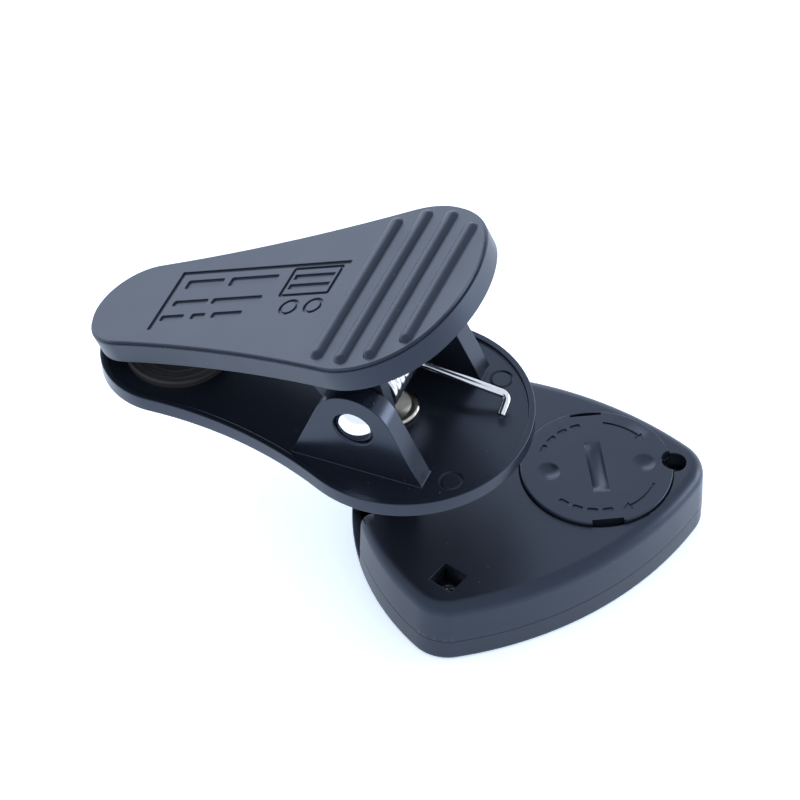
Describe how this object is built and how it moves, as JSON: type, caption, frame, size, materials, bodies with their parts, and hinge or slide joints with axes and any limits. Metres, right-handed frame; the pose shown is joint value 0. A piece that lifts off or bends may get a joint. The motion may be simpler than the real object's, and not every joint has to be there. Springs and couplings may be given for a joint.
{
  "type": "clip on tuner",
  "caption": "Clip-on instrument tuner: flat rounded-triangle head with display and twist-off battery cover, tilting arm, swivelling spring clip with padded jaws.",
  "frame": {"origin": "centre line of the battery cover on the plane of the display face, which the tuner lies on", "axes": "+Z out of the back of the head, towards the clip; +X towards the pointed end of the head; +Y by the right-hand rule"},
  "size_m": [0.094, 0.0564, 0.0633],
  "materials": {
    "black_plastic": "smooth black injection-moulded ABS, satin to glossy",
    "clear_lens": "clear acrylic with a dark printed border",
    "lcd_glass": "liquid-crystal glass",
    "white_plastic": "white translucent light guide",
    "grey_rubber": "soft dark rubber",
    "board_green": "green solder mask",
    "chip_black": "moulded chip package",
    "component_ceramic": "ceramic chip components",
    "button_black": "smooth black plastic",
    "switch_steel": "pressed steel dome switch",
    "contact_steel": "plated spring steel",
    "cell_steel": "stainless steel coin cell",
    "piezo_brass": "brass disc",
    "lead_copper": "insulated thin wire",
    "screw_steel": "blackened steel",
    "pin_steel": "plain steel pin",
    "rivet_nickel": "nickel-plated steel, slightly tarnished",
    "pin_nickel": "bright nickel-plated steel",
    "pad_rubber": "soft black rubber",
    "spring_steel": "bright spring wire"
  },
  "bodies": {
    "head": {"rear_case": "black_plastic", "front_case": "black_plastic", "display_lens": "clear_lens", "lcd_panel": "lcd_glass", "backlight_diffuser": "white_plastic", "zebra_strip": "grey_rubber", "circuit_board": "board_green", "tuner_chip": "chip_black", "chip_components": "component_ceramic", "power_switch": "switch_steel", "mode_switch": "switch_steel", "positive_contact": "contact_steel", "negative_contact": "contact_steel", "coin_cell": "cell_steel", "piezo_disc": "piezo_brass", "piezo_leads": "lead_copper", "case_screws": "screw_steel", "hinge_pin": "pin_steel"},
    "cover": {"battery_cover": "black_plastic"},
    "power_key": {"power_button": "button_black"},
    "mode_key": {"mode_button": "button_black"},
    "arm": {"swivel_arm": "black_plastic", "swivel_washer": "grey_rubber", "swivel_rivet": "rivet_nickel"},
    "lower_clip": {"lower_jaw": "black_plastic", "lower_pad": "pad_rubber", "pivot_pin": "pin_nickel", "pin_cap": "pin_nickel", "torsion_spring": "spring_steel"},
    "upper_clip": {"upper_jaw": "black_plastic", "upper_pad": "pad_rubber"}
  },
  "joints": [
    {"name": "arm_tilt", "type": "hinge", "parent": "head", "child": "arm", "pos_m": [-0.031, 0, 0.006], "axis": [0, -1, 0], "range_deg": [-8, 86]},
    {"name": "clip_swivel", "type": "hinge", "parent": "arm", "child": "lower_clip", "pos_m": [-0.03219, 0, 0.02797], "axis": [-0.0541, 0, 0.9985], "continuous": true},
    {"name": "clip_open", "type": "hinge", "parent": "lower_clip", "child": "upper_clip", "pos_m": [-0.03278, 0, 0.03885], "axis": [0.5053, 0.8625, 0.0274], "range_deg": [0, 30], "stiffness_Nm_per_rad": 0.2, "springref_deg": -28.65, "deforming": ["torsion_spring"]},
    {"name": "cover_turn", "type": "hinge", "parent": "head", "child": "cover", "pos_m": [0, 0, 0.0124], "axis": [0, 0, 1], "range_deg": [-35, 0]},
    {"name": "power_press", "type": "slide", "parent": "head", "child": "power_key", "axis": [0, 0, 1], "range_m": [0, 0.0003], "stiffness_N_per_m": 2000},
    {"name": "mode_press", "type": "slide", "parent": "head", "child": "mode_key", "axis": [0, 0, 1], "range_m": [0, 0.0003], "stiffness_N_per_m": 2000}
  ]
}
